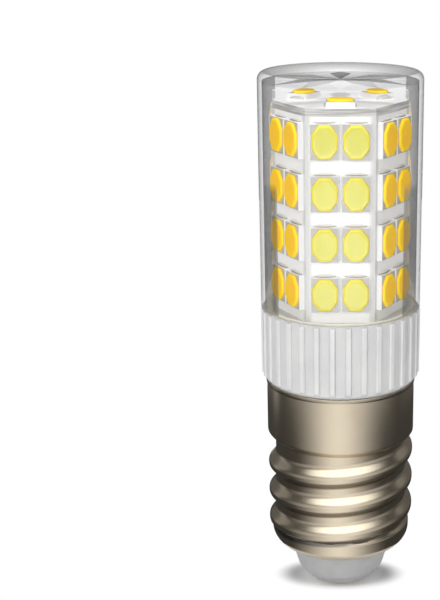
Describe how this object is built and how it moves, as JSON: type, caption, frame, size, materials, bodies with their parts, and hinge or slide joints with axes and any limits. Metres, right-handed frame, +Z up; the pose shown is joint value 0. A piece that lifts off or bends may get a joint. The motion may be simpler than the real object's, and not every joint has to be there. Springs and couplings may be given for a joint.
{
  "type": "corn led bulb",
  "caption": "Corn LED bulb: a hexagonal tower of LED boards under a clear faceted cover, on a ribbed ceramic collar and a small Edison screw cap.",
  "frame": {"origin": "middle of the centre contact's flat underside, on the bulb's axis", "axes": "+Z up the bulb's axis from the contact to the cover's roof; -Y out of the front board"},
  "size_m": [0.016, 0.016, 0.054],
  "materials": {
    "clear_cover": "clear, polished, with a faceted inner roof",
    "ceramic_collar": "smooth unglazed, warm white",
    "cream_cement": "soft cream silicone cement",
    "cap_metal": "satin nickel plate, champagne grey",
    "insulator_plastic": "moulded, fine matte grey",
    "contact_metal": "nickel plate",
    "core_aluminium": "plain drawn",
    "led_board": "white solder mask",
    "led_package": "moulded white",
    "phosphor": "yellow phosphor silicone",
    "driver_board": "green solder mask",
    "black_package": "moulded black",
    "capacitor_can": "drawn can",
    "tinned_wire": "tinned copper",
    "resistor_ceramic": "black glaze on ceramic",
    "fuse_coat": "flameproof coat, grey green",
    "white_wire": "white sleeve",
    "red_wire": "red sleeve",
    "black_wire": "black sleeve"
  },
  "bodies": {
    "root": {"bridge_rectifier": "black_package", "cap_adhesive": "cream_cement", "cap_shell": "cap_metal", "capacitor_legs": "tinned_wire", "centre_contact": "contact_metal", "chip_resistors": "resistor_ceramic", "collar": "ceramic_collar", "cover": "clear_cover", "cover_adhesive": "cream_cement", "driver_board": "driver_board", "driver_chip": "black_package", "fuse_resistor": "fuse_coat", "insulator": "insulator_plastic", "led_lead_negative": "black_wire", "led_lead_positive": "red_wire", "live_lead": "tinned_wire", "neutral_lead": "white_wire", "side_board_1": "led_board", "side_board_2": "led_board", "side_board_3": "led_board", "side_board_4": "led_board", "side_board_5": "led_board", "side_board_6": "led_board", "side_packages_1": "led_package", "side_packages_2": "led_package", "side_packages_3": "led_package", "side_packages_4": "led_package", "side_packages_5": "led_package", "side_packages_6": "led_package", "side_phosphors_1": "phosphor", "side_phosphors_2": "phosphor", "side_phosphors_3": "phosphor", "side_phosphors_4": "phosphor", "side_phosphors_5": "phosphor", "side_phosphors_6": "phosphor", "smoothing_capacitor": "capacitor_can", "top_board": "led_board", "top_packages": "led_package", "top_phosphors": "phosphor", "tower_core": "core_aluminium"}
  },
  "joints": []
}
